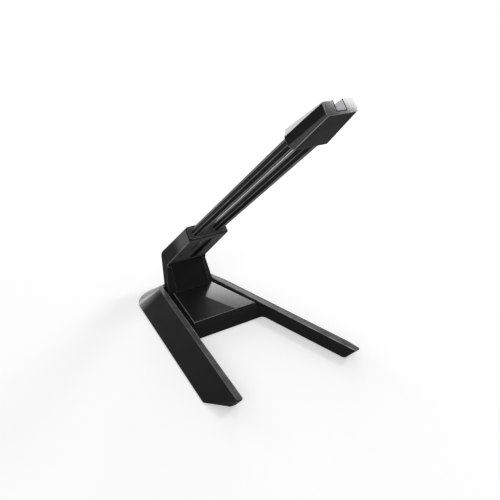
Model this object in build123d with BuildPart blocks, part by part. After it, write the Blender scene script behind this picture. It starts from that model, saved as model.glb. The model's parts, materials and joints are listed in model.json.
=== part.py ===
"""Desk stand that holds a mouse cord clear of the table.

Millimetres, +Z up, origin on the table under the middle of the stand's box.
The stand faces -Y: two splayed legs run forward, the neck rises at the rear and
leans two spring rods forward over the legs, with the cord head at their tip.
"""
import os
from math import cos, radians, sin, tan

from build123d import *

os.makedirs("parts", exist_ok=True)

# Legs: faceted bars that splay outwards, with a narrow land on top and a wide outer slope
leg_splay = 10.0          # degrees that each leg turns out from the centre line
leg_inner_x = 25.38       # inner wall of the right leg where it crosses Y = 0
leg_width_heel = 17.4     # width of the sole along X
leg_width_toe = 16.2
heel_y = 56.0             # where the heel's width is measured
land_heel_y = 45.6        # where the land's height at the heel is measured
land_height_heel = 9.8
land_height_toe = 8.6
land_width_toe = 3.4
toe_inner = (35.2, -55.8)     # corners of the toe on the table
toe_middle = (39.6, -55.2)
toe_outer_y = -44.9
toe_tip_y = -62.9             # the top of the toe reaches further than its sole
toe_ridge_y = -62.0
toe_round = 1.6
edge_round = 0.45
sole = 0.5                # the mouldings stay this far above the table

# Rear of the base: a skirt with round corners that falls from the lands to the table
skirt_corner = (12.5, 49.5)   # middle of each round corner
apron_front = 53.7            # the rear closes behind the neck from here
skirt_height = 12.0           # the skirt is drawn to above the lands

# Bridge between the legs, and the glossy deck on it
bridge_top = 7.0
bridge_front_low = 3.0    # front face of the bridge at the table
bridge_front_top = 4.4    # front face at its upper edge
junction_round = 3.0
deck_top = 9.4
deck_rear = 43.8
deck_front = 7.2          # front edge of the deck's flat top
deck_half_rear = 14.0
deck_half_front = 21.3
deck_side_bevel = 0.7
deck_round = 0.25
peg_width = 2.6           # square pegs under the deck
peg_length = 1.2
peg_spot = (15.5, 11.5)

# Inside of the base: bottom cover, ballast, feet and screws
wall = 1.6
rim = 1.6                 # wall left round the bottom cover
fit = 0.15                # play between pieces that seat in each other
cover_thick = 2.0
cover_front = 6.1         # the cover's part under the bridge starts and ends here
cover_rear = 38.1
ballast_front_y = -30.5
ballast_rear_y = 31.5
slab_half_front = 19.0
slab_half_rear = 14.0
slab_front = 8.1
slab_rear = 35.5
slab_ceiling = 5.6
foot_radius = 4.0
foot_thick = 1.3
foot_front = (40.0, -45.9)
foot_rear = (22.8, 55.5)
screw_radius = 1.0
screw_head_radius = 1.9
screw_head_height = 1.1
screw_play = 0.05
cover_screw_length = 4.6
cover_screw_front = (38.3, -36.4)
cover_screw_rear = (25.0, 38.1)
neck_screw_length = 9.0
neck_screw = (8.0, 49.2)
cross_width = 0.55        # recess for the driver
cross_length = 2.2
cross_depth = 0.6

# Neck: a bent slab with its foot in the base and a socket for the arm
neck_floor = 3.0          # the foot stands on the base shell at this height
neck_front_foot = 44.0    # front face up to the deck
neck_front_bend = (50.7, 25.7)
neck_rear_bend = (59.8, 30.7)
neck_rear_foot = 54.7
neck_half_foot = 14.4     # half width at the deck
neck_draft = 1.9          # degrees that each side leans in
bend_round_front = 2.0
bend_round_rear = 5.0
neck_rear_round = 2.0
neck_front_round = 0.4
socket_bevel = 0.3
bevel_top = (14.0, 51.3, 24.0)     # corners of the bevel beside the front face, on the right
bevel_front = (13.2, 44.0, 9.4)
bevel_outer = (16.2, 46.0, 9.8)    # it runs out onto a gusset beside the neck's foot
gusset_rear = (14.0, 52.5, 9.4)
gusset_half = 16.9
bevel_run_out = 50.0      # degrees that the bevel's upper end leans out
neck_wall = 2.4
neck_core_half = 11.4
neck_core_top = 20.0
boss_radius = 3.0
boss_top = 12.0

# Arm: two spring rods between a plug in the neck and the cord head
arm_angle = 41.2          # degrees above the table
arm_root = (27.05, 54.4)  # Y and Z in the middle of the socket's end
socket_front = -4.4       # depths from the arm's axis, positive to the rear
socket_rear = 4.0
plug_half_width = 11.0
plug_half_depth = 3.2
plug_length = 30.0
flange_half_width = 12.0
flange_front = -3.6
flange_rear = 3.2
flange_thick = 2.5
flange_round = 1.5
short_window = (-4.3, 7.4, 11.6, 1.1)    # slots under the socket: X, distance from the end, length, width
long_window = (2.9, 5.0, 29.4, 4.8)
key_bar = (2.2, 5.7, 23.3, 1.5)          # the plug's key in the long slot
key_rise = 0.7
thumb_bar = (-2.0, 7.2, 16.0, 1.4)       # low ridge beside the short slot
thumb_rise = 0.25
rod_spacing = 14.2
rod_flats = 5.3           # width of the eight-sided rods across flats
rod_sides = 8
rod_round = 0.35
rod_in_plug = 20.0
rod_in_head = 6.0

# Cord head: eight-sided, tapering to its tip, with a notch along its rear side
head_start = 103.6        # from the socket's end, along the arm
head_length = 23.1
base_front = (9.0, -4.45)         # half width and depth of the front face
base_side = (11.05, -2.25, 1.85)  # half width, and depths where the side starts and ends
base_rear = (9.0, 5.0)
tip_front = (7.4, -3.0)
tip_side = (8.1, -1.9, 2.5)
tip_rear = (7.8, 2.96)
head_round = 0.4
notch_half = 2.3
notch_floor = -1.5
notch_reach = 12.0        # the notch is cut well past the rear face
grip_thick = 0.5


def leg_inner(y):
    """X of the right leg's inner wall at a given Y."""
    return leg_inner_x - tan(radians(leg_splay)) * y


def plane_through(a, b, c):
    """Plane through three points, facing the side where they run anticlockwise."""
    a, b, c = Vector(*a), Vector(*b), Vector(*c)
    return Plane(origin=a, x_dir=b - a, z_dir=(b - a).cross(c - a))


def middle_distance(point):
    """Sorting key: distance of an edge's middle from a point."""
    return lambda edge: (edge.center() - Vector(*point)).length


def both_sides(x, y):
    """A spot on the right side and its mirror image on the left."""
    return (x, y), (-x, y)


def arm_spot(along, depth):
    """Y and Z of a spot beside the arm's axis."""
    spot = arm_end.from_local_coords((0, depth, along))
    return spot.Y, spot.Z


arm_run = (0, -cos(radians(arm_angle)), sin(radians(arm_angle)))
arm_end = Plane(origin=(0, *arm_root), x_dir=(1, 0, 0), z_dir=arm_run)
cover_screw_spots = both_sides(*cover_screw_front) + both_sides(*cover_screw_rear)
peg_spots = both_sides(*peg_spot)

# The facets of the right leg and of the bridge, each facing outwards
heel_outer = (leg_inner(heel_y) + leg_width_heel, heel_y, 0)
toe_outer = (leg_inner(toe_outer_y) + leg_width_toe, toe_outer_y, 0)
toe_tip = (leg_inner(toe_tip_y), toe_tip_y, land_height_toe)
toe_ridge = (leg_inner(toe_tip_y) + land_width_toe, toe_ridge_y, land_height_toe)
inner_facet = Plane(
    origin=(leg_inner_x, 0, 0),
    z_dir=(-cos(radians(leg_splay)), -sin(radians(leg_splay)), 0),
)
land_facet = plane_through(
    (0, land_heel_y, land_height_heel),
    (0, toe_tip_y, land_height_toe),
    (1, toe_tip_y, land_height_toe),
)
slope_facet = plane_through(heel_outer, toe_ridge, toe_outer)
toe_facet = plane_through((*toe_inner, 0), (*toe_middle, 0), toe_tip)
oblique_facet = plane_through((*toe_middle, 0), toe_outer, toe_ridge)
leg_facets = (inner_facet, land_facet, slope_facet, toe_facet, oblique_facet)
bridge_facet = plane_through(
    (-1, bridge_front_low, 0),
    (1, bridge_front_low, 0),
    (0, bridge_front_top, bridge_top),
)
bevel_facet = plane_through(bevel_top, bevel_front, bevel_outer)
gusset_facet = plane_through(bevel_top, bevel_outer, gusset_rear)
head_rear_facet = plane_through(
    (0, *arm_spot(head_start, base_rear[1])),
    (0, *arm_spot(head_start + head_length, tip_rear[1])),
    (1, *arm_spot(head_start, base_rear[1])),
)


def slope_x(y, z, skin):
    """X of the right leg's outer slope, set in by a skin, at a given Y and height."""
    root, normal = slope_facet.origin, slope_facet.z_dir
    return root.X + (-skin - normal.Y * (y - root.Y) - normal.Z * (z - root.Z)) / normal.X


def rear_cut(skin):
    """What the skirt, set in by a skin, takes off the rear of the base."""
    corner_x, corner_y = skirt_corner
    with BuildPart() as skirt:
        for height in (-sole, skirt_height):
            reach = slope_x(corner_y, height, skin) - corner_x
            with BuildSketch(Plane.XY.offset(height)):
                with BuildLine():
                    Line((-corner_x - reach, corner_y), (corner_x + reach, corner_y))
                    CenterArc((corner_x, corner_y), reach, 0, 90)
                    Line((corner_x, corner_y + reach), (-corner_x, corner_y + reach))
                    CenterArc((-corner_x, corner_y), reach, 90, 90)
                make_face()
        loft(ruled=True)
    with BuildPart() as cut:
        with BuildSketch(Plane.XY.offset(-sole)):
            with Locations((0, corner_y)):
                Rectangle(4 * leg_width_heel, 2 * heel_y, align=(Align.CENTER, Align.MIN))
        extrude(amount=sole + skirt_height)
        add(skirt.part, mode=Mode.SUBTRACT)
    return cut.part


def leg_block(skin, bottom):
    """Right leg with every facet set in by a skin, standing on a given height."""
    with BuildPart() as block:
        with BuildSketch(Plane.XY.offset(bottom)):
            with Locations((leg_inner_x, 0)):
                Rectangle(4 * leg_width_heel, 4 * heel_y)
        extrude(amount=2 * land_height_heel)
        for facet in leg_facets:
            split(bisect_by=facet.offset(-skin), keep=Keep.BOTTOM)
        add(rear_cut(skin), mode=Mode.SUBTRACT)
    return block.part


def slab(half_front, half_rear, front, rear, bottom, top):
    """Slab with a trapezium outline between two heights."""
    with BuildPart() as block:
        with BuildSketch(Plane.XY.offset(bottom)):
            with BuildLine():
                Polyline(
                    (-half_front, front),
                    (half_front, front),
                    (half_rear, rear),
                    (-half_rear, rear),
                    close=True,
                )
            make_face()
        extrude(amount=top - bottom)
    return block.part


def sole_plate(play):
    """Plate that closes the base from below, smaller than its seat by a play."""
    with BuildPart() as plate:
        add(leg_block(rim + play, sole))
        split(bisect_by=Plane.XY.offset(sole + cover_thick), keep=Keep.BOTTOM)
        mirror(about=Plane.YZ)
        add(
            slab(
                leg_inner(cover_front) + 2 * wall,
                leg_inner(cover_rear) + 2 * wall,
                cover_front + play,
                cover_rear - play,
                sole,
                sole + cover_thick,
            )
        )
    return plate.part


def leg_core(play):
    """Right leg's ballast, smaller than its room by a play."""
    with BuildPart() as core:
        add(leg_block(wall + play, sole + cover_thick))
        split(bisect_by=Plane.XZ.offset(-ballast_front_y - play), keep=Keep.BOTTOM)
        split(bisect_by=Plane.XZ.offset(-ballast_rear_y + play), keep=Keep.TOP)
    return core.part


def bridge_core(play):
    """The bridge's ballast, smaller than its room by a play."""
    return slab(
        slab_half_front - play,
        slab_half_rear - play,
        slab_front + play,
        slab_rear - play,
        sole + cover_thick,
        slab_ceiling - play,
    )


def screw(length, play):
    """Countersunk screw that points up from its head, grown by a play to cut its hole."""
    with BuildPart() as body:
        with BuildSketch(Plane.XZ):
            with BuildLine():
                Polyline(
                    (0, 0),
                    (screw_head_radius + play, 0),
                    (screw_radius + play, screw_head_height),
                    (screw_radius + play, length + play),
                    (0, length + play),
                    close=True,
                )
            make_face()
        revolve(axis=Axis.Z)
    return body.part


def driven_screws(length, spots):
    """Set of screws with a cross recess in each head, flush with the underside."""
    places = [(x, y, sole) for x, y in spots]
    with BuildPart() as screws:
        with Locations(*places):
            add(screw(length, 0))
        with Locations(*places):
            Box(cross_length, cross_width, 2 * cross_depth, mode=Mode.SUBTRACT)
            Box(cross_width, cross_length, 2 * cross_depth, mode=Mode.SUBTRACT)
    return screws.part


def neck_half(z):
    """Half width of the neck at a given height."""
    return neck_half_foot - (z - deck_top) * tan(radians(neck_draft))


def neck_front_y(z):
    """Y of the neck's front face between the deck and the bend."""
    bend_y, bend_z = neck_front_bend
    share = (z - deck_top) / (bend_z - deck_top)
    return neck_front_foot + share * (bend_y - neck_front_foot)


def neck_rear_y(z):
    """Y of the neck's rear face below the bend."""
    bend_y, bend_z = neck_rear_bend
    share = (z - neck_floor) / (bend_z - neck_floor)
    return neck_rear_foot + share * (bend_y - neck_rear_foot)


def flange(play):
    """Flange of the arm plug at the socket's end, grown by a play to cut its seat."""
    with BuildPart() as block:
        with BuildSketch(arm_end):
            with Locations((0, (flange_front + flange_rear) / 2)):
                RectangleRounded(
                    2 * (flange_half_width + play),
                    flange_rear - flange_front + 2 * play,
                    flange_round,
                )
        extrude(amount=-flange_thick)
    return block.part


def window(x, start, length, width):
    """Round-ended slot through the wall under the socket."""
    middle = arm_end.from_local_coords((x, 2 * socket_front, -start - length / 2))
    with BuildPart() as slot:
        with BuildSketch(Plane(origin=middle, x_dir=arm_run, z_dir=arm_end.y_dir)):
            SlotOverall(length, width)
        extrude(amount=-2 * socket_front - plug_half_depth)
    return slot.part


def round_bar(x, start, length, width, root, rise):
    """Bar along the arm with a round back, standing out of a depth towards the front."""
    with BuildPart() as bar:
        with BuildSketch(arm_end.offset(-start)):
            with Locations((x, root)):
                Rectangle(width, 2 * rise)
            with Locations((x, root - rise)):
                Circle(width / 2)
        extrude(amount=-length)
    return bar.part


def neck_corner():
    """What the bevel takes off the right front edge of the neck."""
    lean = radians(bevel_run_out)
    across = Vector(bevel_facet.z_dir.X, bevel_facet.z_dir.Y, 0).normalized()
    run_out = Plane(origin=bevel_top, z_dir=Vector(0, 0, sin(lean)) - across * cos(lean))
    with BuildPart() as corner:
        with BuildSketch(Plane.XY.offset(neck_floor)):
            with Locations((neck_half_foot, neck_front_foot)):
                Rectangle(neck_half_foot, 2 * neck_half_foot)
        extrude(amount=2 * bevel_top[2])
        split(bisect_by=bevel_facet, keep=Keep.TOP)
        split(bisect_by=run_out, keep=Keep.BOTTOM)
    return corner.part


def gusset():
    """Wedge beside the right of the neck's foot that carries the bevel down to the groove."""
    with BuildPart() as wedge:
        with BuildSketch(Plane.XY.offset(bridge_top + fit)):
            with BuildLine():
                Polyline(
                    (neck_core_half, neck_front_foot),
                    (gusset_half, neck_front_foot),
                    (gusset_half, neck_rear_foot),
                    (neck_core_half, neck_rear_foot),
                    close=True,
                )
            make_face()
        extrude(amount=bevel_top[2])
        split(bisect_by=bevel_facet, keep=Keep.BOTTOM)
        split(bisect_by=gusset_facet, keep=Keep.BOTTOM)
    return wedge.part


def rod_section():
    """Eight-sided section of a rod, with flats to the front and sides."""
    RegularPolygon(rod_flats / 2, rod_sides, major_radius=False, rotation=180 / rod_sides)


def head_section(along, front, side, rear):
    """Eight-sided section of the cord head at a distance from its base."""
    with BuildSketch(arm_end.offset(head_start + along)) as section:
        with BuildLine():
            Polyline(
                (-front[0], front[1]),
                (front[0], front[1]),
                (side[0], side[1]),
                (side[0], side[2]),
                (rear[0], rear[1]),
                (-rear[0], rear[1]),
                (-side[0], side[2]),
                (-side[0], side[1]),
                close=True,
            )
        make_face()
    return section.sketch


def notch_outline(half, floor):
    """Section of the cord notch, open to the rear."""
    with Locations((0, floor)):
        Rectangle(2 * half, notch_reach, align=(Align.CENTER, Align.MIN))


# Base shell: both legs and the bridge, moulded as one and open below
with BuildPart() as leg:
    add(leg_block(0, sole))
    toe_height = land_height_toe / 2
    toe_edges = leg.edges().sort_by(middle_distance((*toe_inner, toe_height)))[:1]
    toe_edges += leg.edges().sort_by(middle_distance((*toe_middle, toe_height)))[:1]
    fillet(toe_edges, radius=toe_round)
    upper_edges = leg.edges().filter_by(lambda edge: edge.center().Z > 2 * sole)
    fillet(upper_edges.filter_by(lambda edge: edge.center().Y < skirt_corner[1]), radius=edge_round)

with BuildPart() as bridge:
    add(
        slab(
            leg_inner(bridge_front_low) + wall,
            leg_inner(heel_y) + wall,
            bridge_front_low,
            heel_y,
            sole,
            bridge_top,
        )
    )
    split(bisect_by=bridge_facet, keep=Keep.BOTTOM)

with BuildPart() as apron:
    apron_rear = heel_y + leg_width_heel
    add(
        slab(
            leg_inner(apron_front) + wall,
            leg_inner(apron_rear) + wall,
            apron_front,
            apron_rear,
            sole,
            2 * land_height_heel,
        )
    )
    split(bisect_by=land_facet, keep=Keep.BOTTOM)
    add(rear_cut(0), mode=Mode.SUBTRACT)

with BuildPart() as base_shell:
    add(leg.part)
    mirror(about=Plane.YZ)
    add(bridge.part)
    add(apron.part)
    corner_x = leg_inner(bridge_front_low)
    for x in (-corner_x, corner_x):
        corner = (x, bridge_front_low, bridge_top / 2)
        fillet(base_shell.edges().sort_by(middle_distance(corner))[0], radius=junction_round)
    add(sole_plate(0), mode=Mode.SUBTRACT)
    add(leg_core(0), mode=Mode.SUBTRACT)
    add(leg_core(0).mirror(Plane.YZ), mode=Mode.SUBTRACT)
    add(bridge_core(0), mode=Mode.SUBTRACT)
    with BuildSketch(Plane.XY.offset(neck_floor)):
        with Locations((0, neck_front_foot - fit)):
            Rectangle(
                2 * (neck_half(neck_floor) + fit),
                neck_rear_y(land_height_heel) - neck_front_foot + 2 * fit,
                align=(Align.CENTER, Align.MIN),
            )
    extrude(amount=land_height_heel, mode=Mode.SUBTRACT)
    with Locations(*[(x, y, bridge_top) for x, y in peg_spots]):
        Box(peg_width + 2 * fit, peg_width + 2 * fit, 2 * wall, mode=Mode.SUBTRACT)
    with Locations(*[(x, y, sole) for x, y in cover_screw_spots]):
        add(screw(cover_screw_length, screw_play), mode=Mode.SUBTRACT)
    with Locations(*[(x, y, sole) for x, y in both_sides(*neck_screw)]):
        add(screw(neck_screw_length, screw_play), mode=Mode.SUBTRACT)
base_shell.part.label = "base_shell"
export_step(base_shell.part, "parts/base_shell.step")

# Deck: glossy inlay with bevelled front and sides, pegged into the bridge
with BuildPart() as deck_plate:
    with BuildSketch(Plane.XY.offset(bridge_top)):
        with BuildLine():
            Polyline(
                (-deck_half_front - deck_side_bevel, bridge_front_top),
                (deck_half_front + deck_side_bevel, bridge_front_top),
                (deck_half_rear + deck_side_bevel, deck_rear),
                (-deck_half_rear - deck_side_bevel, deck_rear),
                close=True,
            )
        make_face()
    with BuildSketch(Plane.XY.offset(deck_top)):
        with BuildLine():
            Polyline(
                (-deck_half_front, deck_front),
                (deck_half_front, deck_front),
                (deck_half_rear, deck_rear),
                (-deck_half_rear, deck_rear),
                close=True,
            )
        make_face()
    loft(ruled=True)
    fillet(deck_plate.faces().sort_by(Axis.Z)[-1].edges(), radius=deck_round)
    with Locations(*[(x, y, bridge_top) for x, y in peg_spots]):
        Box(peg_width, peg_width, peg_length, align=(Align.CENTER, Align.CENTER, Align.MAX))
deck_plate.part.label = "deck_plate"
export_step(deck_plate.part, "parts/deck_plate.step")

# Bottom cover, with seats for the feet and countersunk screw holes
with BuildPart() as base_cover:
    add(sole_plate(fit))
    foot_spots = both_sides(*foot_front) + both_sides(*foot_rear)
    with Locations(*[(x, y, foot_thick) for x, y in foot_spots]):
        Cylinder(
            foot_radius + fit,
            foot_thick,
            align=(Align.CENTER, Align.CENTER, Align.MAX),
            mode=Mode.SUBTRACT,
        )
    with Locations(*[(x, y, sole) for x, y in cover_screw_spots]):
        add(screw(cover_screw_length, screw_play), mode=Mode.SUBTRACT)
base_cover.part.label = "base_cover"
export_step(base_cover.part, "parts/base_cover.step")

# Ballast: iron castings that fill the legs and the bridge
with BuildPart() as ballast_right:
    add(leg_core(fit))
ballast_right.part.label = "ballast_right"
export_step(ballast_right.part, "parts/ballast_right.step")

with BuildPart() as ballast_left:
    add(leg_core(fit).mirror(Plane.YZ))
ballast_left.part.label = "ballast_left"
export_step(ballast_left.part, "parts/ballast_left.step")

with BuildPart() as ballast_bridge:
    add(bridge_core(fit))
ballast_bridge.part.label = "ballast_bridge"
export_step(ballast_bridge.part, "parts/ballast_bridge.step")

# Feet: round rubber pads under the toes and heels
foot_names = {
    "foot_front_right": foot_front,
    "foot_front_left": (-foot_front[0], foot_front[1]),
    "foot_rear_right": foot_rear,
    "foot_rear_left": (-foot_rear[0], foot_rear[1]),
}
for foot_name, (x, y) in foot_names.items():
    with BuildPart() as foot:
        with BuildSketch():
            with Locations((x, y)):
                Circle(foot_radius)
        extrude(amount=foot_thick)
    foot.part.label = foot_name
    export_step(foot.part, f"parts/{foot_name}.step")

# Screws: four hold the bottom cover, two hold the neck
cover_screws = driven_screws(cover_screw_length, cover_screw_spots)
cover_screws.label = "cover_screws"
export_step(cover_screws, "parts/cover_screws.step")

neck_screws = driven_screws(neck_screw_length, both_sides(*neck_screw))
neck_screws.label = "neck_screws"
export_step(neck_screws, "parts/neck_screws.step")

# Neck: bent profile with drafted sides, cored from below, with a socket at its upper end
bends = ((neck_front_bend, bend_round_front), (neck_rear_bend, bend_round_rear))
with BuildPart() as neck_shell:
    with BuildSketch(Plane.YZ) as neck_profile:
        with BuildLine():
            Polyline(
                (neck_front_foot, neck_floor),
                (neck_front_foot, deck_top),
                neck_front_bend,
                arm_spot(0, socket_front),
                arm_spot(0, socket_rear),
                neck_rear_bend,
                (neck_rear_foot, neck_floor),
                close=True,
            )
        make_face()
        for bend, bend_round in bends:
            fillet(neck_profile.vertices().sort_by_distance(bend)[0], radius=bend_round)
    extrude(amount=2 * neck_half_foot, both=True)
    for side in (-1, 1):
        lean = Plane(
            origin=(side * neck_half_foot, 0, deck_top),
            z_dir=(side * cos(radians(neck_draft)), 0, sin(radians(neck_draft))),
        )
        split(bisect_by=lean, keep=Keep.BOTTOM)
    for side in (-1, 1):
        rear_edge = (side * neck_half(arm_root[1]), *arm_spot(-plug_length / 2, socket_rear))
        front_edge = (side * neck_half(arm_root[1]), *arm_spot(-plug_length / 2, socket_front))
        fillet(neck_shell.edges().sort_by(middle_distance(rear_edge))[0], radius=neck_rear_round)
        fillet(neck_shell.edges().sort_by(middle_distance(front_edge))[0], radius=neck_front_round)
    chamfer(neck_shell.faces().sort_by(Axis((0, 0, 0), arm_run))[-1].edges(), length=socket_bevel)
    add(neck_corner(), mode=Mode.SUBTRACT)
    add(neck_corner().mirror(Plane.YZ), mode=Mode.SUBTRACT)
    add(gusset())
    add(gusset().mirror(Plane.YZ))
    with BuildSketch(Plane.YZ):
        with BuildLine():
            Polyline(
                (neck_front_foot + neck_wall, neck_floor),
                (neck_front_foot + neck_wall, deck_top),
                (neck_front_y(neck_core_top) + neck_wall, neck_core_top),
                (neck_rear_y(neck_core_top) - neck_wall, neck_core_top),
                (neck_rear_foot - neck_wall, neck_floor),
                close=True,
            )
        make_face()
    extrude(amount=neck_core_half, both=True, mode=Mode.SUBTRACT)
    with BuildSketch(Plane.XY.offset(neck_floor)):
        with Locations(*both_sides(*neck_screw)):
            Circle(boss_radius)
    extrude(amount=boss_top - neck_floor)
    with Locations(*[(x, y, sole) for x, y in both_sides(*neck_screw)]):
        add(screw(neck_screw_length, screw_play), mode=Mode.SUBTRACT)
    with BuildSketch(arm_end):
        Rectangle(2 * (plug_half_width + fit), 2 * (plug_half_depth + fit))
    extrude(amount=-plug_length - fit, mode=Mode.SUBTRACT)
    add(flange(fit), mode=Mode.SUBTRACT)
    add(window(*short_window), mode=Mode.SUBTRACT)
    add(window(*long_window), mode=Mode.SUBTRACT)
    add(round_bar(*thumb_bar, socket_front - thumb_rise + thumb_bar[3] / 2, thumb_rise))
neck_shell.part.label = "neck_shell"
export_step(neck_shell.part, "parts/neck_shell.step")

# Arm plug: seats in the socket, with a flange, a key bar and sockets for the rods
with BuildPart() as arm_plug:
    with BuildSketch(arm_end):
        Rectangle(2 * plug_half_width, 2 * plug_half_depth)
    extrude(amount=-plug_length)
    add(flange(0))
    add(round_bar(*key_bar, -plug_half_depth, key_rise))
    with BuildSketch(arm_end):
        with Locations((-rod_spacing / 2, 0), (rod_spacing / 2, 0)):
            rod_section()
    extrude(amount=-rod_in_plug, mode=Mode.SUBTRACT)
arm_plug.part.label = "arm_plug"
export_step(arm_plug.part, "parts/arm_plug.step")

# Spring rods: eight-sided, pressed into the plug and the head
for rod_name, side in (("rod_left", -1), ("rod_right", 1)):
    with BuildPart() as rod:
        with BuildSketch(arm_end.offset(-rod_in_plug)) as section:
            with Locations((side * rod_spacing / 2, 0)):
                rod_section()
            fillet(section.vertices(), radius=rod_round)
        extrude(amount=rod_in_plug + head_start + rod_in_head)
    rod.part.label = rod_name
    export_step(rod.part, f"parts/{rod_name}.step")

# Cord head: lofted from its base to its tip, then notched along its rear side
with BuildPart() as head_body:
    head_base = head_section(0, base_front, base_side, base_rear)
    head_tip = head_section(head_length, tip_front, tip_side, tip_rear)
    loft(sections=[head_base, head_tip], ruled=True)
    for side in (-1, 1):
        for base, tip in ((base_front, tip_front), (base_side, tip_side)):
            middle = ((base[0] + tip[0]) / 2, (base[1] + tip[1]) / 2, head_start + head_length / 2)
            spot = arm_end.from_local_coords((side * middle[0], *middle[1:]))
            fillet(head_body.edges().sort_by(middle_distance(spot))[0], radius=head_round)
    with BuildSketch(arm_end.offset(head_start)):
        notch_outline(notch_half + grip_thick, notch_floor - grip_thick)
    extrude(amount=head_length, mode=Mode.SUBTRACT)
    with BuildSketch(arm_end.offset(head_start)):
        with Locations((-rod_spacing / 2, 0), (rod_spacing / 2, 0)):
            rod_section()
    extrude(amount=rod_in_head, mode=Mode.SUBTRACT)
head_body.part.label = "head_body"
export_step(head_body.part, "parts/head_body.step")

# Cord grip: rubber lining of the notch, flush with the head's rear face
with BuildPart() as cord_grip:
    with BuildSketch(arm_end.offset(head_start)):
        notch_outline(notch_half + grip_thick, notch_floor - grip_thick)
    extrude(amount=head_length)
    with BuildSketch(arm_end.offset(head_start)):
        notch_outline(notch_half, notch_floor)
    extrude(amount=head_length, mode=Mode.SUBTRACT)
    split(bisect_by=head_rear_facet, keep=Keep.BOTTOM)
cord_grip.part.label = "cord_grip"
export_step(cord_grip.part, "parts/cord_grip.step")
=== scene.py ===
import json
from collections import namedtuple
from functools import reduce
from math import cos, pi, radians, sin

import bpy
import numpy as np
from bpy.props import FloatProperty, FloatVectorProperty, PointerProperty
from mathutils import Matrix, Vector


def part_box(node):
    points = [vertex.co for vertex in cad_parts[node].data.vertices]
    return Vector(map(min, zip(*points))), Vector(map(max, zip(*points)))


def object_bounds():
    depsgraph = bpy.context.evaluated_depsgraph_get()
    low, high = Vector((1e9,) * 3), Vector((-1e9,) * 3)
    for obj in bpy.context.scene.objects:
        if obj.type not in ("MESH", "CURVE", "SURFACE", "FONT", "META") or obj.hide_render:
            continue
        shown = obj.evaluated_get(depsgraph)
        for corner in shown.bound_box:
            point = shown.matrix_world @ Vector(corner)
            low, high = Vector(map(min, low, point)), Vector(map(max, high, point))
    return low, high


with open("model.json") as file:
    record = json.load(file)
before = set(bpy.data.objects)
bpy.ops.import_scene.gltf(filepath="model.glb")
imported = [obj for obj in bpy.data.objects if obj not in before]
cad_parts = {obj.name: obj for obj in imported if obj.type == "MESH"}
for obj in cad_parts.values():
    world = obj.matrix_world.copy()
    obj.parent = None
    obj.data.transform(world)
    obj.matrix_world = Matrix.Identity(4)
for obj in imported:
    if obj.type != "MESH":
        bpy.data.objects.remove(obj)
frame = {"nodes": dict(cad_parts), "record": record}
cad_low, cad_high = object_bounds()

bl_info = {
    "name": "Cord Stand Looks",
    "version": (1, 1, 0),
    "blender": (4, 5, 0),
    "location": "View3D > Sidebar > Cord Stand",
    "description": "Finishes for the pieces of a mouse cord stand, and the studio that shows it",
    "category": "Object",
}

# Colours of the record's material slots, by slot name
slot_colours = {row["slot"]: row["base_color"] for row in frame["record"]["materials"]}

# Middle of the right rod
rod_middle = Vector(np.mean(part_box("rod_right"), axis=0))

# The deck's edges, between which the line of its polish runs
deck_low, deck_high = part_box("deck_plate")

# Directions of the stand, and of its arm, which leans forward
UP = (0.0, 0.0, 1.0)
REAR = (0.0, 1.0, 0.0)
RIGHT = (1.0, 0.0, 0.0)
LEFT = (-1.0, 0.0, 0.0)
ARM_ANGLE = radians(41.2)
ARM_RUN = (0.0, -cos(ARM_ANGLE), sin(ARM_ANGLE))
ARM_DEPTH = (0.0, sin(ARM_ANGLE), cos(ARM_ANGLE))
ARM_UNDER = (0.0, -sin(ARM_ANGLE), -cos(ARM_ANGLE))
ROD_SIDES = 8

# Grain of a moulded or cast surface, in metres
Grain = namedtuple("Grain", "spacing depth")
LINING_GRAIN = Grain(0.0003, 0.00002)
FOOT_GRAIN = Grain(0.0005, 0.00003)
IRON_GRAIN = Grain(0.0012, 0.00008)
STEEL_GRAIN = Grain(0.0003, 0.000005)
DECK_GRAIN_SHARE = 0.25

# Roughness and specular level of the pieces that a user has no need to change
IRON_ROUGHNESS = 0.7
STEEL_ROUGHNESS = 0.32
RUBBER_SHINE = 0.3
METAL_SHINE = 0.5

# Noise: how many swings to the metre, how many finer layers, its ranges, and what they are carried to
GLOSS_SCALE = 55.0
PATCH_SCALE = 140.0
GRAIN_LAYERS = 2.0
GRAIN_HARSHNESS = 0.6
NOISE_LAYERS = 3.0
SWING = (-1.0, 1.0)
GLOSS_NOISE = (0.3, 0.7)
DRIFT_NOISE = (0.25, 0.75)
PATCH_NOISE = (0.35, 0.65)
# Range that patches of noise scale the painted highlights by
PATCH_HIGHLIGHT_SHARE = (0.5, 1.0)

# Share of a normal that points in a direction: a mask of faces rises between these limits
FLAT = (0.95, 0.985)
NEARLY_FLAT = (0.9, 0.96)
ROUGHLY_FLAT = (0.8, 0.9)

# The same for the rounds between faces
LAND_ROUND = (0.87, 0.97)
BRINK_INWARD = (0.15, 0.3)
BRINK_UP = (0.2, 0.35)
DECK_ROUND = (0.8, 0.97)
NECK_ROUND = (0.3, 0.85)
NECK_FRONT = (0.45, 0.55)
NECK_REAR = (-0.2, -0.4)
HEAD_ROUND = (0.1, 0.62)
HEAD_UNDER = (0.3, 0.5)
BAND_SOFTNESS = 0.02

# How closely a face and the rounded shape agree, where the painted highlight on an edge starts and where it
# is full
EDGE_AGREEMENT = (0.982, 0.93)
EDGE_SAMPLES = 6

# How strongly edges and rounds are painted lighter, as shares: painted highlights
EDGE_PAINTED_HIGHLIGHT = 0.55
NECK_EDGE_PAINTED_HIGHLIGHT = 0.14
NECK_REAR_PAINTED_HIGHLIGHT = 0.4
LAND_ROUND_PAINTED_HIGHLIGHT = 0.6
ROD_CORNER_PAINTED_HIGHLIGHT = 0.5

# Places in metres where masks come in
EVERY_HEIGHT = -1.0
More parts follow.
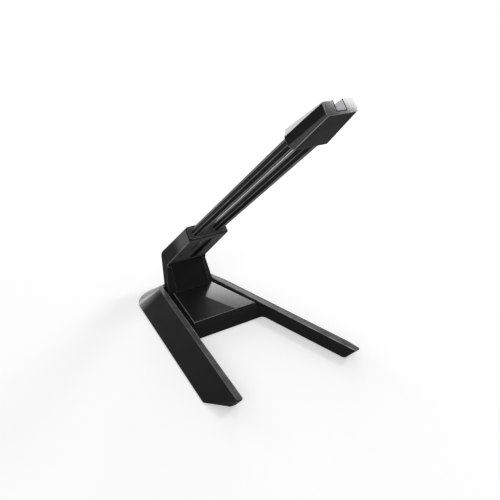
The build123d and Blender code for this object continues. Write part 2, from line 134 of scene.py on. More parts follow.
# Painted highlights on the base only above this height
SHELL_HIGHLIGHT_HEIGHT = 0.0075
DECK_ROUND_DROP = 0.0008
GROOVE_FADE = 0.004
HEEL_FADE = (0.046, 0.058)
SOCKET_FADE = (-0.0065, 0.0075)
POLISH_BLUR = 0.0003
FLOOR_FADE = (0.35, 0.9)

# Mesh of the floor, and the camera's fixed values
SWEEP_RINGS = 24
SWEEP_SPOKES = 97
SENSOR_WIDTH = 36.0
CLIP_START = 0.01
CLIP_END = 20.0


def colour_property(name, description, default):
    """Colour in linear red, green and blue."""
    return FloatVectorProperty(
        name=name, description=description, subtype="COLOR", size=3, min=0.0, max=1.0, default=default
    )


def slot_property(name, slot, description):
    """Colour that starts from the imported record's material slot."""
    return colour_property(name, description, slot_colours[slot])


def share_property(name, description, default):
    """Plain share between 0 and 1."""
    return FloatProperty(
        name=name, description=description, subtype="FACTOR", min=0.0, max=1.0, default=default
    )


def length_property(name, description, default):
    """Length in metres."""
    return FloatProperty(
        name=name, description=description, subtype="DISTANCE", unit="LENGTH", default=default, precision=6
    )


def place_property(name, description, default):
    """Place in metres."""
    return FloatVectorProperty(
        name=name, description=description, subtype="TRANSLATION", unit="LENGTH", size=3, default=default
    )


def size_property(name, default):
    """Width and height in metres."""
    return FloatVectorProperty(
        name=name, description="Width and height", subtype="XYZ", unit="LENGTH", size=2, default=default
    )


def angle_property(name, description, default):
    """Angle in radians."""
    return FloatProperty(
        name=name, description=description, subtype="ANGLE", unit="ROTATION", default=default
    )


def strength_property(name, description, default):
    """Brightness from 0 up, where 1 is a white sheet in plain light."""
    return FloatProperty(name=name, description=description, min=0.0, default=default)


class StandFinish(bpy.types.PropertyGroup):
    """Colours and gloss of the stand's materials."""

    shell_colour: slot_property("Shell", "shell_plastic", "Moulded base and its legs")
    neck_colour: slot_property("Neck", "neck_plastic", "Bent neck with the socket")
    deck_colour: slot_property("Deck", "deck_gloss", "Polished inlay between the legs")
    cover_colour: slot_property("Cover", "cover_plastic", "Plate under the base")
    plug_colour: slot_property("Plug", "plug_plastic", "Plug that holds the rods")
    rod_colour: slot_property("Rods", "rod_plastic", "Spring rods")
    head_colour: slot_property("Head", "head_plastic", "Cord head")
    grip_colour: slot_property("Grip", "grip_rubber", "Lining of the notch")
    rim_colour: slot_property("Grip rim", "foot_rubber", "Dark rim of the lining")
    foot_colour: slot_property("Feet", "foot_rubber", "Rubber pads under the base")
    iron_colour: slot_property("Ballast", "ballast_iron", "Cast iron in the base")
    steel_colour: slot_property("Screws", "screw_steel", "Zinc plated screws")
    # Painted highlights: edges and rounds of the black mouldings are lightened towards this colour, and so is
    # painted light on some faces
    painted_highlight_colour: colour_property(
        "Painted edge highlights", "Painted highlights on the edges of the black mouldings", (0.5, 0.5, 0.51)
    )

    wear: share_property("Edge highlight", "How far the edges are rubbed", 1.0)
    painted_highlight_width: length_property("Highlight width", "How far wear reaches from an edge", 0.0005)
    satin: share_property("Satin roughness", "Roughness of the moulded plastic", 0.6)
    satin_shine: share_property("Satin shine", "Specular level of the moulded plastic", 0.05)
    grain_size: length_property("Grain size", "Spacing of the moulded grain", 0.0004)
    grain_depth: length_property("Grain depth", "Height of the moulded grain", 0.000012)
    rubber_matt: share_property("Rubber roughness", "Roughness of feet, grip and cover", 0.78)

    land_gloss: share_property("Land gloss", "Weight of the gloss on the legs' top faces", 0.6)
    land_satin: share_property("Land roughness", "Roughness of the gloss on base and neck", 0.25)
    # Painted light: how far the legs' top faces and the walls beside the deck are lightened
    land_painted_light: share_property("Land painted light", "How far the legs' top faces are rubbed", 0.18)
    heel_gloss: share_property("Heel gloss", "Weight of the gloss on the round rear of the base", 1.0)
    groove_painted_light: share_property("Groove painted light", "How far the legs' walls beside the deck are rubbed", 0.11)

    deck_satin: share_property("Deck roughness", "Roughness of the deck under its polish", 0.5)
    polish: share_property("Polish roughness", "Roughness of the deck's polished zone", 0.13)
    faint_polish: share_property("Faint polish", "Weight of the polish beyond its line", 0.06)
    polish_rear: length_property("Polish, rear", "X where the polish starts at the deck's rear", -0.0044)
    polish_front: length_property("Polish, front", "X where the polish starts at the deck's front", 0.0083)

    flank_gloss: share_property("Flank gloss", "Weight of the gloss on the socket's sides", 0.7)
    # Painted light on the socket's underside
    belly_painted_light: share_property("Belly painted light", "How far the underside of the socket is rubbed", 0.18)

    # Painted light on the plug's open faces
    plug_painted_light: share_property("Plug painted light", "How far the plug's open faces are rubbed", 0.11)
    rod_satin: share_property("Rod roughness", "Roughness of the rods", 0.36)
    rod_shine: share_property("Rod shine", "Specular level of the rods", 0.06)
    # Width of the painted highlights on the rods' corners
    corner_share: share_property("Corner share", "Width of the rods' rubbed corners, in sides", 0.1)

    tip_satin: share_property("Tip roughness", "Roughness of the head's polished faces", 0.08)
    # Painted light: brightens the lining inside the shaded notch beyond its own colour
    grip_painted_light: strength_property("Grip painted light", "Brightness of the lining over its slot's colour", 2.1)


class StandStudio(bpy.types.PropertyGroup):
    """Camera, floor and lamps."""

    camera_place: place_property("Camera", "Where the camera stands", (-0.16575, -0.23557, 0.18574))
    azimuth: angle_property("Azimuth", "Turn about the vertical, 0 looks along +Y", radians(-33.2))
    elevation: angle_property("Elevation", "How far the camera looks down", radians(31.848))
    lens: FloatProperty(
        name="Lens",
        description="Focal length on a 36 mm sensor",
        subtype="DISTANCE_CAMERA",
        unit="CAMERA",
        default=42.208,
    )
    shift: FloatVectorProperty(
        name="Shift",
        description="Shift of the picture, as a share of its width",
        subtype="XYZ",
        size=2,
        default=(0.06889, 0.14248),
    )

    rear_place: place_property("Rear softbox", "Middle of the softbox behind", (0.50, 0.71, 0.287))
    rear_size: size_property("Rear softbox size", (0.42, 0.35))
    rear_light: strength_property("Rear softbox light", "Brightness of its face", 4.0)
    front_place: place_property("Front softbox", "Middle of the softbox before", (0.6712, -0.2359, 0.716))
    front_size: size_property("Front softbox size", (0.20, 0.20))
    front_light: strength_property("Front softbox light", "Brightness of its face", 16.0)
    side_place: place_property("Side softbox", "Middle of the softbox by the camera", (-0.80, -0.60, 0.55))
    side_size: size_property("Side softbox size", (0.50, 0.50))
    side_light: strength_property("Side softbox light", "Brightness of its face", 3.0)
    low_place: place_property("Low softbox", "Middle of the low softbox far behind", (-0.20, 1.25, 0.33))
    low_size: size_property("Low softbox size", (0.70, 0.34))
    low_light: strength_property("Low softbox light", "Brightness of its face", 4.0)
    room_light: strength_property("Room light", "Strength of the even light from all around", 0.4)

    floor_colour: colour_property("Floor", "Floor and the sweep behind it", (0.82, 0.82, 0.82))
    floor_lift: share_property("Floor lift", "White that the floor adds to what the lamps give it", 0.4)
    sweep_radius: length_property("Sweep radius", "Where the floor turns up into the sweep", 1.6)
    sweep_height: length_property("Sweep height", "Height of the sweep's edge", 1.05)
    sweep_round: length_property("Sweep round", "Radius of the turn", 0.3)


class StandSettings(bpy.types.PropertyGroup):
    """All that a user would change."""

    finish: PointerProperty(type=StandFinish, name="Finish", description="Colours and gloss")
    studio: PointerProperty(type=StandStudio, name="Studio", description="Camera, floor and lamps")


def add_node(tree, kind, inputs=(), **settings):
    """Adds a node, sets its attributes, and fills or links the named inputs."""
    made = tree.nodes.new(kind)
    for key, value in settings.items():
        setattr(made, key, value)
    for key, value in dict(inputs).items():
        if isinstance(value, bpy.types.NodeSocket):
            tree.links.new(value, made.inputs[key])
        else:
            made.inputs[key].default_value = value
    return made


def maths(tree, operation, *values, clamp=False):
    """Result of one Math node on numbers and sockets."""
    node = add_node(tree, "ShaderNodeMath", enumerate(values), operation=operation, use_clamp=clamp)
    return node.outputs[0]


def both(tree, first, second):
    """Product of two masks, or of a mask and a share."""
    return maths(tree, "MULTIPLY", first, second)


def either(tree, *masks):
    """Largest of several masks."""
    return reduce(lambda first, second: maths(tree, "MAXIMUM", first, second), masks)


def dot(tree, first, second):
    """Dot product of two vectors."""
    return add_node(
        tree, "ShaderNodeVectorMath", {0: first, 1: second}, operation="DOT_PRODUCT"
    ).outputs["Value"]


def scaled(tree, vector, share):
    """Vector or colour times a share."""
    return add_node(
        tree, "ShaderNodeVectorMath", {0: vector, "Scale": share}, operation="SCALE"
    ).outputs[0]


def mixed(tree, share, first, second):
    """Colour between two others: a colour Mix has them as inputs 6 and 7, and its result as output 2."""
    return add_node(tree, "ShaderNodeMix", {0: share, 6: first, 7: second}, data_type="RGBA").outputs[2]


def noise(tree, vector, scale, detail=NOISE_LAYERS, **more):
    """Value of a noise texture."""
    inputs = {"Vector": vector, "Scale": scale, "Detail": detail, **more}
    return add_node(tree, "ShaderNodeTexNoise", inputs).outputs["Fac"]


def spread(tree, value, low, high, to_low=0.0, to_high=1.0, smooth=False):
    """Value carried from one range to another, held at its ends."""
    inputs = {"Value": value, "From Min": low, "From Max": high, "To Min": to_low, "To Max": to_high}
    kind = "SMOOTHSTEP" if smooth else "LINEAR"
    return add_node(tree, "ShaderNodeMapRange", inputs, interpolation_type=kind).outputs[0]


def band(tree, value, low, high):
    """Mask that is 1 where the value lies between two limits."""
    rising = spread(tree, value, low - BAND_SOFTNESS, low)
    falling = spread(tree, value, high + BAND_SOFTNESS, high)
    return both(tree, rising, falling)


def place_of(tree):
    """Object coordinates."""
    return add_node(tree, "ShaderNodeTexCoord").outputs["Object"]


def along(tree, direction):
    """Distance of the shaded point from the origin along a direction."""
    return dot(tree, place_of(tree), direction)


def normal_along(tree, direction):
    """Share of the surface's normal that points in a direction."""
    return dot(tree, add_node(tree, "ShaderNodeNewGeometry").outputs["Normal"], direction)


def facing(tree, direction, limits=FLAT):
    """Mask of the faces whose normal points in a direction."""
    return spread(tree, normal_along(tree, direction), *limits)


def sideways(tree):
    """How far the surface faces left or right, from 0 to 1."""
    return maths(tree, "ABSOLUTE", normal_along(tree, RIGHT))


def new_group(name, inputs, outputs):
    """Empty shader group with float inputs and the named outputs; returns it with its two end nodes."""
    tree = bpy.data.node_groups.new(name, "ShaderNodeTree")
    for label, default in inputs.items():
        socket = tree.interface.new_socket(label, in_out="INPUT", socket_type="NodeSocketFloat")
        socket.default_value = default
    for label in outputs:
        tree.interface.new_socket(label, in_out="OUTPUT", socket_type="NodeSocketFloat")
    return tree, tree.nodes.new("NodeGroupInput"), tree.nodes.new("NodeGroupOutput")


def moulded_grain_group():
    """Spark-eroded grain of a mould: fine noise for the height, and broad noise for the gloss."""
    tree, start, end = new_group(
        "moulded grain", {"Spacing": 0.0004, "Roughness": 0.6, "Spread": 0.06}, ("Height", "Roughness")
    )
    place = place_of(tree)
    scale = maths(tree, "DIVIDE", 1.0, start.outputs["Spacing"])
    fine = noise(tree, place, scale, GRAIN_LAYERS, Roughness=GRAIN_HARSHNESS)
    broad = noise(tree, place, GLOSS_SCALE)
    swing = spread(tree, broad, *GLOSS_NOISE, *SWING)
    gloss_drift = maths(
        tree, "MULTIPLY_ADD", swing, start.outputs["Spread"], start.outputs["Roughness"], clamp=True
    )
    tree.links.new(fine, end.inputs["Height"])
    tree.links.new(gloss_drift, end.inputs["Roughness"])
    return tree


def colour_drift_group():
    """Faint cloudiness of a moulded colour, as a share that swings about 1."""
    tree, start, end = new_group("colour drift", {"Amount": 0.18, "Size": 0.02}, ("Share",))
    cloud = noise(tree, place_of(tree), maths(tree, "DIVIDE", 1.0, start.outputs["Size"]))
    swing = spread(tree, cloud, *DRIFT_NOISE, *SWING)
    share = maths(tree, "MULTIPLY_ADD", swing, start.outputs["Amount"], 1.0)
    tree.links.new(share, end.inputs["Share"])
    return tree


def drawn_lines_group():
    """Lines that a die leaves along the arm: noise stretched in the arm's direction."""
    tree, start, end = new_group("drawn lines", {"Spacing": 0.0003, "Length": 0.03}, ("Height",))
    stretched = add_node(
        tree,
        "ShaderNodeCombineXYZ",
        {
            "X": maths(tree, "DIVIDE", along(tree, RIGHT), start.outputs["Spacing"]),
            "Y": maths(tree, "DIVIDE", along(tree, ARM_DEPTH), start.outputs["Spacing"]),
            "Z": maths(tree, "DIVIDE", along(tree, ARM_RUN), start.outputs["Length"]),
        },
    )
    tree.links.new(noise(tree, stretched.outputs[0], 1.0), end.inputs["Height"])
    return tree


def painted_highlight_group():
    """Painted highlights in patches: on the given rounds, and where the rounded shape's normal turns from the
    face.
    """
    tree, start, end = new_group(
        "painted highlight",
        {"Width": 0.0005, "Sharp": EDGE_PAINTED_HIGHLIGHT, "Rounds": 0.0, "Above": EVERY_HEIGHT, "Amount": 1.0},
        ("Mask",),
    )
    rounded = add_node(tree, "ShaderNodeBevel", {"Radius": start.outputs["Width"]}, samples=EDGE_SAMPLES)
    face = add_node(tree, "ShaderNodeNewGeometry").outputs["True Normal"]
    turned = spread(tree, dot(tree, rounded.outputs[0], face), *EDGE_AGREEMENT)
    edge = either(tree, both(tree, turned, start.outputs["Sharp"]), start.outputs["Rounds"])
    patches = spread(tree, noise(tree, place_of(tree), PATCH_SCALE), *PATCH_NOISE, *PATCH_HIGHLIGHT_SHARE)
    high = maths(tree, "GREATER_THAN", along(tree, UP), start.outputs["Above"])
    share = both(tree, high, start.outputs["Amount"])
    mask = maths(tree, "MULTIPLY", both(tree, edge, patches), share, clamp=True)
    tree.links.new(mask, end.inputs["Mask"])
    return tree


GROUPS = {
    "moulded grain": moulded_grain_group,
    "colour drift": colour_drift_group,
    "drawn lines": drawn_lines_group,
    "painted highlight": painted_highlight_group,
}


def place_group(tree, name, inputs=()):
    """Puts a shared group into a material with its own values, building it the first time."""
    group = bpy.data.node_groups.get(name) or GROUPS[name]()
    return add_node(tree, "ShaderNodeGroup", inputs, node_tree=group)


def shader_of(material):
    """The material's main shader."""
    return material.node_tree.nodes["Principled BSDF"]


def moulding(name, colour, roughness, grain, shine):
    """Moulded material: grain in the height, gloss and colour that drift a little."""
    material = bpy.data.materials.new(name)
    material.use_nodes = True
    tree = material.node_tree
    shader = shader_of(material)
    shader.inputs["Specular IOR Level"].default_value = shine
    drift = place_group(tree, "colour drift")
    texture = place_group(tree, "moulded grain", {"Spacing": grain.spacing, "Roughness": roughness})
    height = {"Height": texture.outputs["Height"], "Strength": 1.0, "Distance": grain.depth}
    bump = add_node(tree, "ShaderNodeBump", height)
    tree.links.new(scaled(tree, tuple(colour), drift.outputs["Share"]), shader.inputs["Base Color"])
    tree.links.new(texture.outputs["Roughness"], shader.inputs["Roughness"])
    tree.links.new(bump.outputs["Normal"], shader.inputs["Normal"])
    return material


def common_grain(finish):
    """Grain that the black mouldings share."""
    return Grain(finish.grain_size, finish.grain_depth)


def satin_plastic(name, colour, finish):
    """Black moulding with the stand's common satin."""
    return moulding(name, colour, finish.satin, common_grain(finish), finish.satin_shine)


def paint_highlights(material, finish, rounds=0.0, above=EVERY_HEIGHT, sharp=EDGE_PAINTED_HIGHLIGHT):
    """Paints highlights: lightens the sharp edges and the masked rounds towards the highlight colour, above a
    height.
    """
    tree = material.node_tree
    base = shader_of(material).inputs["Base Color"]
    wear = place_group(
        tree,
        "painted highlight",
        {"Width": finish.painted_highlight_width, "Sharp": sharp, "Rounds": rounds, "Above": above, "Amount": finish.wear},
    )
    # Base colour mixed towards the highlight colour: painted highlights and painted light
    highlighted = mixed(tree, wear.outputs["Mask"], base.links[0].from_socket, (*finish.painted_highlight_colour, 1.0))
    tree.links.new(highlighted, base)


def gloss(material, mask, roughness):
    """Clear gloss of an even roughness over the masked part of a material."""
    shader = shader_of(material)
    material.node_tree.links.new(mask, shader.inputs["Coat Weight"])
    shader.inputs["Coat Roughness"].default_value = roughness


def dress(material, *nodes):
    """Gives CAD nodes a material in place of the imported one."""
    for name in nodes:
        slots = frame["nodes"][name].data.materials
        slots.clear()
        slots.append(material)


class StandOperator:
    """What the operators share: access to the settings."""

    bl_options = {"REGISTER", "UNDO"}

    @staticmethod
    def finish_of(context):
        """The finish settings of the scene."""
        return context.scene.cord_stand.finish


class STAND_OT_base(StandOperator, bpy.types.Operator):
    """Satin moulded base with its legs, and the matt cover below it"""

    bl_idname = "cord_stand.base"
    bl_label = "Base"

    def execute(self, context):
        finish = self.finish_of(context)
        shell = satin_plastic("shell_plastic", finish.shell_colour, finish)
        tree = shell.node_tree
        lands = facing(tree, UP)
        heel = spread(tree, along(tree, REAR), *HEEL_FADE, 0.0, finish.heel_gloss, smooth=True)
        gloss(shell, either(tree, both(tree, lands, finish.land_gloss), heel), finish.land_satin)
        # Painted light on the legs' tops and the walls beside the deck, and painted highlights on their
        # rounds and edges
        paint_highlights(shell, finish, self.lightened(tree, lands, finish), SHELL_HIGHLIGHT_HEIGHT)
        dress(shell, "base_shell")
        cover = moulding(
            "cover_plastic",
            finish.cover_colour,
            finish.rubber_matt,
            common_grain(finish),
            finish.satin_shine,
        )
        dress(cover, "base_cover")
        return {"FINISHED"}

    @staticmethod
    def lightened(tree, lands, finish):
        """Mask of painted light: the legs' lighter top faces and the lighter walls beside the deck, with
        painted highlights on the lands' rounds and inner brinks.
        """
        up = normal_along(tree, UP)
        tops = both(tree, lands, finish.land_painted_light)
        rounds = both(tree, band(tree, up, *LAND_ROUND), LAND_ROUND_PAINTED_HIGHLIGHT)
        walls = spread(tree, sideways(tree), *NEARLY_FLAT, 0.0, finish.groove_painted_light)
        beside_deck = spread(tree, along(tree, REAR), deck_low[1], deck_low[1] + GROOVE_FADE)
        leg_side = maths(tree, "SIGN", along(tree, RIGHT))
        inward = both(tree, leg_side, normal_along(tree, LEFT))
        brinks = both(tree, spread(tree, inward, *BRINK_INWARD), spread(tree, up, *BRINK_UP))
        return either(tree, tops, both(tree, walls, beside_deck), rounds, brinks)


class STAND_OT_deck(StandOperator, bpy.types.Operator):
    """Inlay between the legs, polished on one side of a slanting line"""

    bl_idname = "cord_stand.deck"
    bl_label = "Deck"

    def execute(self, context):
        finish = self.finish_of(context)
        grain = Grain(finish.grain_size, finish.grain_depth * DECK_GRAIN_SHARE)
        deck = moulding("deck_gloss", finish.deck_colour, finish.deck_satin, grain, finish.satin_shine)
        tree = deck.node_tree
        # Painted highlight on the deck's top rounds and edges
        rounds = band(tree, normal_along(tree, UP), *DECK_ROUND)
        paint_highlights(deck, finish, rounds, deck_high[2] - DECK_ROUND_DROP)
        gloss(deck, both(tree, self.polished(tree, finish), facing(tree, UP)), finish.polish)
        dress(deck, "deck_plate")
        return {"FINISHED"}

    @staticmethod
    def polished(tree, finish):
        """Mask of the polish: full on the right of a line from the deck's rear to its front, else faint."""
        run = Vector((finish.polish_front - finish.polish_rear, deck_low[1] - deck_high[1], 0.0))
        side = Vector((-run.y, run.x, 0.0)).normalized()
        start = side.dot(Vector((finish.polish_rear, deck_high[1], 0.0)))
        limits = (start - POLISH_BLUR, start + POLISH_BLUR)
        return spread(tree, along(tree, side), *limits, finish.faint_polish, 1.0, smooth=True)


class STAND_OT_neck(StandOperator, bpy.types.Operator):
    """Bent neck with the socket"""

    bl_idname = "cord_stand.neck"
    bl_label = "Neck"

    def execute(self, context):
        finish = self.finish_of(context)
        neck = satin_plastic("neck_plastic", finish.neck_colour, finish)
        tree = neck.node_tree
        side = sideways(tree)
        under = normal_along(tree, ARM_UNDER)
        # Painted highlights on the neck's front and rear fillets and its edges, and painted light on the
        # socket's underside
        front = spread(tree, under, *NECK_FRONT)
        rear = spread(tree, under, *NECK_REAR, 0.0, NECK_REAR_PAINTED_HIGHLIGHT)
        fillets = both(tree, band(tree, side, *NECK_ROUND), either(tree, front, rear))
        belly = spread(tree, under, *NEARLY_FLAT, 0.0, finish.belly_painted_light)
        paint_highlights(neck, finish, either(tree, fillets, belly), sharp=NECK_EDGE_PAINTED_HIGHLIGHT)
        socket = spread(tree, along(tree, ARM_RUN), *SOCKET_FADE, smooth=True)
        flanks = spread(tree, side, *NEARLY_FLAT, 0.0, finish.flank_gloss)
        gloss(neck, both(tree, socket, flanks), finish.land_satin)
        dress(neck, "neck_shell")
        return {"FINISHED"}


class STAND_OT_arm(StandOperator, bpy.types.Operator):
    """Plug in the socket, and the two spring rods with their drawn lines"""

    bl_idname = "cord_stand.arm"
    bl_label = "Arm"

    def execute(self, context):
        finish = self.finish_of(context)
        rods = moulding(
            "rod_plastic", finish.rod_colour, finish.rod_satin, common_grain(finish), finish.rod_shine
        )
        tree = rods.node_tree
        lines = place_group(tree, "drawn lines")
        tree.links.new(lines.outputs["Height"], tree.nodes["Bump"].inputs["Height"])
        # Painted highlights on the rods' edges and corners
        paint_highlights(rods, finish, self.corners(tree, finish))
        dress(rods, "rod_left", "rod_right")
        plug = satin_plastic("plug_plastic", finish.plug_colour, finish)
        tree = plug.node_tree
        # Painted light on the plug's end and under faces, and painted highlights on its edges
        ends = either(tree, facing(tree, ARM_RUN), facing(tree, ARM_UNDER))
        paint_highlights(plug, finish, both(tree, ends, finish.plug_painted_light))
        dress(plug, "arm_plug")
        return {"FINISHED"}

    @staticmethod
    def corners(tree, finish):
        """Mask of the painted highlights on the rods' corners, from the angle about a rod's axis, counted in
        sides.

        A corner lies half a side from the middle of a side.
        """
        across = maths(tree, "SUBTRACT", maths(tree, "ABSOLUTE", along(tree, RIGHT)), rod_middle.x)
        deep = maths(tree, "SUBTRACT", along(tree, ARM_DEPTH), rod_middle.dot(Vector(ARM_DEPTH)))
        turn = maths(tree, "DIVIDE", maths(tree, "ARCTAN2", deep, across), 2 * pi / ROD_SIDES)
        off = maths(tree, "ABSOLUTE", maths(tree, "SUBTRACT", maths(tree, "FRACT", turn), 0.5))
        return spread(tree, off, finish.corner_share / 2, finish.corner_share, ROD_CORNER_PAINTED_HIGHLIGHT, 0.0)


class STAND_OT_head(StandOperator, bpy.types.Operator):
    """Cord head, and the light lining of its notch with a dark rim"""

    bl_idname = "cord_stand.head"
    bl_label = "Head"

    def execute(self, context):
        finish = self.finish_of(context)
        head = satin_plastic("head_plastic", finish.head_colour, finish)
        tree = head.node_tree
        side = sideways(tree)
        under = normal_along(tree, ARM_UNDER)
        # Painted highlights on the head's rounds and edges
        rounds = both(tree, band(tree, side, *HEAD_ROUND), spread(tree, under, *HEAD_UNDER))
        paint_highlights(head, finish, rounds)
        dull = either(tree, spread(tree, side, *NEARLY_FLAT), spread(tree, under, *NEARLY_FLAT))
        gloss(head, maths(tree, "SUBTRACT", 1.0, dull), finish.tip_satin)
        dress(head, "head_body")
        dress(self.lining(finish), "cord_grip")
        return {"FINISHED"}

    @staticmethod
    def lining(finish):
        """Soft light rubber, brightened further inside the notch with painted light against its shade, and
        dark on its rim.
        """
        grip = moulding("grip_rubber", finish.grip_colour, finish.rubber_matt, LINING_GRAIN, RUBBER_SHINE)
        tree = grip.node_tree
        base = shader_of(grip).inputs["Base Color"]
        rim = either(tree, facing(tree, ARM_RUN, ROUGHLY_FLAT), facing(tree, ARM_DEPTH, ROUGHLY_FLAT))
        # Painted light: the lining inside the notch is brightened beyond its own colour, where the notch is
        # in shade
        light = scaled(tree, base.links[0].from_socket, finish.grip_painted_light)
        tree.links.new(mixed(tree, rim, light, (*finish.rim_colour, 1.0)), base)
        return grip


class STAND_OT_underside(StandOperator, bpy.types.Operator):
    """Feet, screws and ballast"""

    bl_idname = "cord_stand.underside"
    bl_label = "Feet, screws and ballast"

    def execute(self, context):
        finish = self.finish_of(context)
        rubber = moulding("foot_rubber", finish.foot_colour, finish.rubber_matt, FOOT_GRAIN, RUBBER_SHINE)
        iron = moulding("ballast_iron", finish.iron_colour, IRON_ROUGHNESS, IRON_GRAIN, METAL_SHINE)
        steel = moulding("screw_steel", finish.steel_colour, STEEL_ROUGHNESS, STEEL_GRAIN, METAL_SHINE)
        shader_of(steel).inputs["Metallic"].default_value = 1.0
        dress(rubber, *[name for name in frame["nodes"] if name.startswith("foot_")])
        dress(iron, *[name for name in frame["nodes"] if name.startswith("ballast_")])
        dress(steel, "cover_screws", "neck_screws")
        return {"FINISHED"}


def sweep_points(radius, turn, height):
    """Floor that turns up into a wall.

    A profile of run, quarter round and rise is carried round the vertical.
    """
    run = np.linspace(0.0, radius, SWEEP_RINGS)
    angle = np.linspace(0.0, np.pi / 2, SWEEP_RINGS)[1:]
    profile_r = np.concatenate([run, radius + turn * np.sin(angle), [radius + turn]])
    profile_z = np.concatenate([0 * run, turn * (1 - np.cos(angle)), [height]])
    round_angle = np.linspace(0.0, 2 * np.pi, SWEEP_SPOKES)
    reach, bearing = np.meshgrid(profile_r, round_angle, indexing="ij")
    rise = np.broadcast_to(profile_z[:, None], reach.shape)
    points = np.stack([reach * np.cos(bearing), reach * np.sin(bearing), rise], axis=-1)
    index = np.arange(reach.size).reshape(reach.shape)
    faces = np.stack([index[:-1, :-1], index[1:, :-1], index[1:, 1:], index[:-1, 1:]], axis=-1)
    return points.reshape(-1, 3), faces.reshape(-1, 4)


def white_surface(name, studio):
    """Floor that takes the stand's shadow near it and is plain white further away."""
    material = bpy.data.materials.new(name)
    material.use_nodes = True
    tree = material.node_tree
    tree.nodes.clear()
    path = add_node(tree, "ShaderNodeLightPath")
    seen = maths(tree, "ADD", path.outputs["Is Camera Ray"], path.outputs["Is Glossy Ray"])
    seen = maths(tree, "ADD", seen, path.outputs["Is Transmission Ray"], clamp=True)
    reach = add_node(tree, "ShaderNodeVectorMath", {0: place_of(tree)}, operation="LENGTH").outputs["Value"]
    diffuse = add_node(tree, "ShaderNodeBsdfDiffuse", {"Color": (*studio.floor_colour, 1.0)})
    lift = add_node(tree, "ShaderNodeEmission", {"Strength": both(tree, seen, studio.floor_lift)})
    near_floor = add_node(tree, "ShaderNodeAddShader", {0: diffuse.outputs[0], 1: lift.outputs[0]})
    white = spread(tree, seen, 0.0, 1.0, studio.room_light, 1.0)
    far_floor = add_node(tree, "ShaderNodeEmission", {"Strength": white})
    far = spread(tree, reach, *FLOOR_FADE, smooth=True)
    floor = add_node(
        tree, "ShaderNodeMixShader", {0: far, 1: near_floor.outputs[0], 2: far_floor.outputs[0]}
    )
    add_node(tree, "ShaderNodeOutputMaterial", {"Surface": floor.outputs[0]})
    return material


def softbox(scene, name, place, size, radiance):
    """Rectangular lamp aimed at the stand, whose power gives its face the wanted radiance."""
    lamp = bpy.data.lights.new(name, "AREA")
    lamp.shape = "RECTANGLE"
    lamp.size, lamp.size_y = size
    lamp.energy = radiance * np.pi * size[0] * size[1]
    box = bpy.data.objects.new(name, lamp)
    box.location = place
    middle = Vector((cad_low + cad_high) / 2)
    box.rotation_euler = (middle - Vector(place)).to_track_quat("-Z", "Y").to_euler()
    box.visible_camera = False
    scene.collection.objects.link(box)


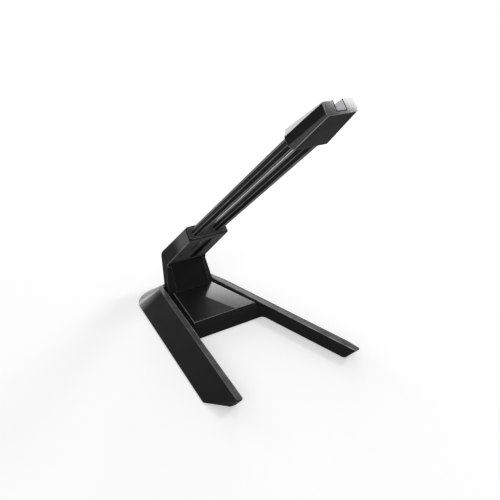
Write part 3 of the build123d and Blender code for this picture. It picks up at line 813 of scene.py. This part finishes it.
class STAND_OT_stage(StandOperator, bpy.types.Operator):
    """Floor, lamps, room light and camera"""

    bl_idname = "cord_stand.stage"
    bl_label = "Studio"

    def execute(self, context):
        studio = context.scene.cord_stand.studio
        self.lay_floor(context.scene, studio)
        self.light(context.scene, studio)
        self.aim_camera(context.scene, studio)
        return {"FINISHED"}

    def lay_floor(self, scene, studio):
        """Round floor at the height of the feet, with a sweep round it."""
        points, faces = sweep_points(studio.sweep_radius, studio.sweep_round, studio.sweep_height)
        mesh = bpy.data.meshes.new("floor")
        mesh.from_pydata(points, [], faces)
        mesh.materials.append(white_surface("floor_white", studio))
        floor = bpy.data.objects.new("floor", mesh)
        scene.collection.objects.link(floor)

    def light(self, scene, studio):
        """Softboxes round the stand, and an even light from the room."""
        softbox(scene, "softbox_rear", studio.rear_place, studio.rear_size, studio.rear_light)
        softbox(scene, "softbox_front", studio.front_place, studio.front_size, studio.front_light)
        softbox(scene, "softbox_side", studio.side_place, studio.side_size, studio.side_light)
        softbox(scene, "softbox_low", studio.low_place, studio.low_size, studio.low_light)
        world = bpy.data.worlds.new("room")
        scene.world = world
        world.use_nodes = True
        room = world.node_tree.nodes["Background"]
        room.inputs["Color"].default_value = (1.0, 1.0, 1.0, 1.0)
        room.inputs["Strength"].default_value = studio.room_light

    def aim_camera(self, scene, studio):
        """Camera at the photograph's place and angle."""
        lens = bpy.data.cameras.new("camera")
        lens.lens = studio.lens
        lens.sensor_width = SENSOR_WIDTH
        lens.shift_x, lens.shift_y = studio.shift
        lens.clip_start = CLIP_START
        lens.clip_end = CLIP_END
        eye = bpy.data.objects.new("camera", lens)
        eye.location = studio.camera_place
        turn, tilt = studio.azimuth, studio.elevation
        back = Vector((sin(turn) * cos(tilt), -cos(turn) * cos(tilt), sin(tilt)))
        eye.rotation_mode = "QUATERNION"
        eye.rotation_quaternion = (-back).to_track_quat("-Z", "Y")
        scene.collection.objects.link(eye)
        scene.camera = eye
        scene.view_settings.view_transform = "Standard"


PIECES = (
    STAND_OT_base,
    STAND_OT_deck,
    STAND_OT_neck,
    STAND_OT_arm,
    STAND_OT_head,
    STAND_OT_underside,
    STAND_OT_stage,
)


class STAND_PT_sidebar(bpy.types.Panel):
    """Buttons for the pieces and the settings that they read"""

    bl_idname = "STAND_PT_sidebar"
    bl_label = "Cord Stand"
    bl_space_type = "VIEW_3D"
    bl_region_type = "UI"
    bl_category = "Cord Stand"

    def draw(self, context):
        settings = context.scene.cord_stand
        for group in (settings.finish, settings.studio):
            box = self.layout.box()
            for name in group.__annotations__:
                box.prop(group, name)
        for piece in PIECES:
            self.layout.operator(piece.bl_idname)


CLASSES = (StandFinish, StandStudio, StandSettings, *PIECES, STAND_PT_sidebar)


def register():
    """Registers the settings, the operators and the panel."""
    for each in CLASSES:
        bpy.utils.register_class(each)
    bpy.types.Scene.cord_stand = PointerProperty(type=StandSettings)


def unregister():
    """Takes back what register adds."""
    del bpy.types.Scene.cord_stand
    for each in reversed(CLASSES):
        bpy.utils.unregister_class(each)


def main():
    """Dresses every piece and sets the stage."""
    register()
    bpy.ops.cord_stand.base()
    bpy.ops.cord_stand.deck()
    bpy.ops.cord_stand.neck()
    bpy.ops.cord_stand.arm()
    bpy.ops.cord_stand.head()
    bpy.ops.cord_stand.underside()
    bpy.ops.cord_stand.stage()


if __name__ == "__main__":
    main()
